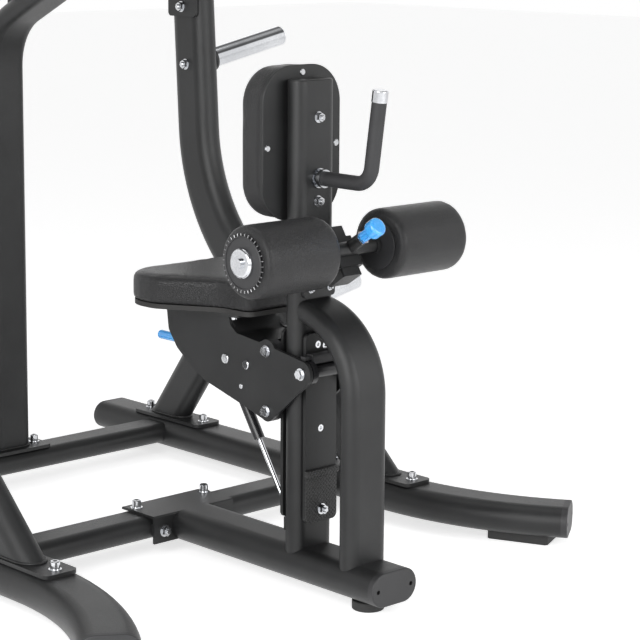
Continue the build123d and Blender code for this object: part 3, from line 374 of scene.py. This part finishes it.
def stuffed(node_name, name, shrink, cap, hold, cell=0.005):
    """A cushion blown up as cloth inside its CAD block; hold(v) keeps a point off its neighbours."""
    pad = copy_of(node_name, name)
    bpy.ops.object.mode_set(mode="EDIT")
    bpy.ops.mesh.select_all(action="SELECT")
    bpy.ops.transform.shrink_fatten(value=-shrink)
    bpy.ops.object.mode_set(mode="OBJECT")
    pad.modifiers.new("even_cells", "REMESH").voxel_size = cell
    apply_all(pad)
    start = [(v.co.copy(), v.normal.copy()) for v in pad.data.vertices]
    cloth = pad.modifiers.new("foam", "CLOTH")
    cloth.settings.use_pressure = True
    cloth.settings.uniform_pressure_force = PRESSURE
    cloth.settings.quality = 5
    cloth.settings.effector_weights.gravity = 0.0
    cloth.point_cache.frame_end = CLOTH_STEPS
    for step in range(1, CLOTH_STEPS + 1):
        bpy.context.scene.frame_set(step)
    apply_all(pad)
    bpy.context.scene.frame_set(1)
    for v, (home, outward) in zip(pad.data.vertices, start):
        move = v.co - home
        pulled_in = -move.dot(outward) - PULL_IN
        if pulled_in > 0.0:
            move += outward * pulled_in
            v.co = home + move
        if move.length > cap:
            v.co = home + move * (cap / move.length)
        hold(v)
    smooth = pad.modifiers.new("even_out", "SMOOTH")
    smooth.iterations = 3
    soft = pad.modifiers.new("soft", "SUBSURF")
    soft.levels = 1
    soft.render_levels = 1
    apply_all(pad)
    for v in pad.data.vertices:
        hold(v)
    only(pad)
    bpy.ops.object.shade_smooth()
    pad.data.materials.append(vinyl)
    print(name, ":", len(pad.data.polygons), "faces")
    return pad


# %% [markdown]
# ## Seat cushion
# The seat is broad at the back and narrow between the thighs. Its underside
# lies flat on a board, so no point may go below the board's top.

# %% Seat cushion
seat_low, seat_high = (mathutils.Vector(c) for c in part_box("seat_cushion"))


def on_seat_board(v):
    v.co.z = min(max(v.co.z, seat_low.z), seat_high.z + 0.004)


seat_pad = stuffed("seat_cushion", "seat_pad", 0.0008, 0.004, on_seat_board)
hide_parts("seat_cushion")
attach(seat_pad, "seat_carriage")

# %% [markdown]
# ## Chest pad
# The chest pad is an upright rounded block. Its back is screwed to a painted
# plate, so its back face stays flat against it.

# %% Chest pad
chest_low, chest_high = (mathutils.Vector(c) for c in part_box("chest_cushion"))


def on_chest_plate(v):
    v.co.y = min(max(v.co.y, chest_low.y), chest_high.y + 0.004)


chest_pad = stuffed("chest_cushion", "chest_pad", 0.0008, 0.004, on_chest_plate)
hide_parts("chest_cushion")
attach(chest_pad, "frame")

# %% [markdown]
# ## Beads
# A bead is a thin round line along a cut. The bead maker copies a piece's
# mesh, cuts it flat at a level, keeps only the line of the cut and turns that
# line into a cord with a curve's bevel.

# %% A helper for beads
def bead(node_name, name, axis, level, body, radius, coat):
    """A round bead along the outline where a piece's wall crosses a level."""
    ring = copy_of(node_name, name)
    normal = [0.0, 0.0, 0.0]
    normal["xyz".index(axis)] = 1.0
    point = [level if a == axis else 0.0 for a in "xyz"]
    bpy.ops.object.mode_set(mode="EDIT")
    bpy.ops.mesh.select_all(action="SELECT")
    bpy.ops.mesh.bisect(plane_co=point, plane_no=normal, clear_inner=True, clear_outer=True)
    bpy.ops.mesh.select_all(action="SELECT")
    bpy.ops.mesh.remove_doubles(threshold=0.0008)
    bpy.ops.object.mode_set(mode="OBJECT")
    bpy.ops.object.convert(target="CURVE")
    ring.data.bevel_depth = radius
    ring.data.bevel_resolution = 2
    bpy.ops.object.convert(target="MESH")
    bpy.ops.object.mode_set(mode="EDIT")
    bpy.ops.mesh.select_all(action="SELECT")
    bpy.ops.mesh.normals_make_consistent(inside=False)
    bpy.ops.object.mode_set(mode="OBJECT")
    bpy.ops.object.shade_smooth()
    ring.data.materials.clear()
    ring.data.materials.append(coat)
    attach(ring, body)
    print(name, ":", len(ring.data.polygons), "faces")
    return ring


# %% [markdown]
# ## Weld beads
# Where a tube stands on its foot plate, a painted weld bead fills the corner.
# It follows the cut end of the tube, so the same bead maker serves: it cuts
# each tube just above its plate and rounds the line of the cut.

# %% Weld beads
WELD_RADIUS = 0.0032
WELD_LIFT = 0.0015
for tube in ("uprights", "rear_legs", "rear_mast"):
    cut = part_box(tube)[0][2] + WELD_LIFT
    bead(tube, tube + "_welds", "z", cut, "frame", WELD_RADIUS, powder_coat)

# %% [markdown]
# ## Knee rollers
# A knee roller is a foam tube under vinyl. The foam bulges between its two
# end discs and its rim rolls over towards the axle. Its bore stays clear of
# the hub, so a point may come no nearer the axle than the hub's radius.

# %% Knee rollers
HUB_REACH = 0.0192
DISC_REACH = 0.052
for side in ("left", "right"):
    low, high = (mathutils.Vector(c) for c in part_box("knee_roller_" + side))
    middle = (low + high) / 2
    outer = (high.z - low.z) / 2

    def on_hub(v):
        radial = mathutils.Vector((0.0, v.co.y - middle.y, v.co.z - middle.z))
        reach = min(max(radial.length, HUB_REACH), outer + 0.003)
        if radial.length > 1e-6:
            radial *= reach / radial.length
        inset = 0.0005 if reach < DISC_REACH else -0.002
        x = min(max(v.co.x, low.x + inset), high.x - inset)
        v.co = (x, middle.y + radial.y, middle.z + radial.z)

    roller = stuffed("knee_roller_" + side, "knee_foam_" + side, 0.002, 0.004, on_hub,
                     cell=0.0055)
    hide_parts("knee_roller_" + side)
    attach(roller, "knee_" + side)

# %% [markdown]
# ## Ribbed hub faces
# The outer end of each roller has a moulded face: a ring of small ribs in a
# groove round a smooth disc. Each rib is the same bevelled block, set round
# the axle. The ribs are their own piece in bright steel: its light colour is a
# painted highlight for the bright ticks on the ribs, and as metal they also
# catch the room's real light.

# %% Hub ribs
RIBS = 34
RIB_SIZE = (0.0030, 0.0064, 0.0014)
RIB_CIRCLE = 0.0545
RIB_SINK = 0.0006
GROOVE_RADIUS = 0.0505
GROOVE_WIRE = 0.0022
for side, sign in (("left", 1.0), ("right", -1.0)):
    low, high = (mathutils.Vector(c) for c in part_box("knee_hub_" + side))
    face_x = high.x if sign > 0 else low.x
    centre = mathutils.Vector((face_x, (low.y + high.y) / 2, (low.z + high.z) / 2))
    bpy.ops.object.select_all(action="DESELECT")
    bpy.ops.mesh.primitive_torus_add(location=centre, rotation=(0, math.pi / 2, 0),
                                     major_radius=GROOVE_RADIUS, minor_radius=GROOVE_WIRE,
                                     major_segments=72, minor_segments=10)
    ring = bpy.context.object
    ring.name = "hub_ring_" + side
    bpy.ops.object.transform_apply(location=True, rotation=True, scale=True)
    ring.data.materials.clear()
    ring.data.materials.append(black_plastic)
    bpy.ops.object.shade_smooth_by_angle(angle=math.radians(35))
    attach(ring, "knee_" + side)
    pieces = []
    for k in range(RIBS):
        angle = 2 * math.pi * k / RIBS
        spot = centre + mathutils.Vector((-sign * RIB_SINK, RIB_CIRCLE * math.cos(angle),
                                          RIB_CIRCLE * math.sin(angle)))
        bpy.ops.mesh.primitive_cube_add(size=1.0, location=spot, rotation=(angle, 0, 0))
        rib = bpy.context.object
        rib.scale = RIB_SIZE
        bpy.ops.object.transform_apply(location=True, rotation=True, scale=True)
        bevel = rib.modifiers.new("round", "BEVEL")
        bevel.width = 0.0005
        bevel.segments = 1
        apply_all(rib)
        pieces.append(rib)
    bpy.ops.object.select_all(action="DESELECT")
    for piece in pieces:
        piece.select_set(True)
    ribs = pieces[0]
    ribs.name = "hub_ribs_" + side
    bpy.context.view_layer.objects.active = ribs
    bpy.ops.object.join()
    bpy.ops.object.shade_smooth_by_angle(angle=math.radians(35))
    ribs.data.materials.clear()
    # The light steel colour on the ribs is a painted highlight for their bright ticks.
    ribs.data.materials.append(steel)
    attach(ribs, "knee_" + side)
    print(ring.name, ribs.name, ":", len(ring.data.polygons), len(ribs.data.polygons), "faces")
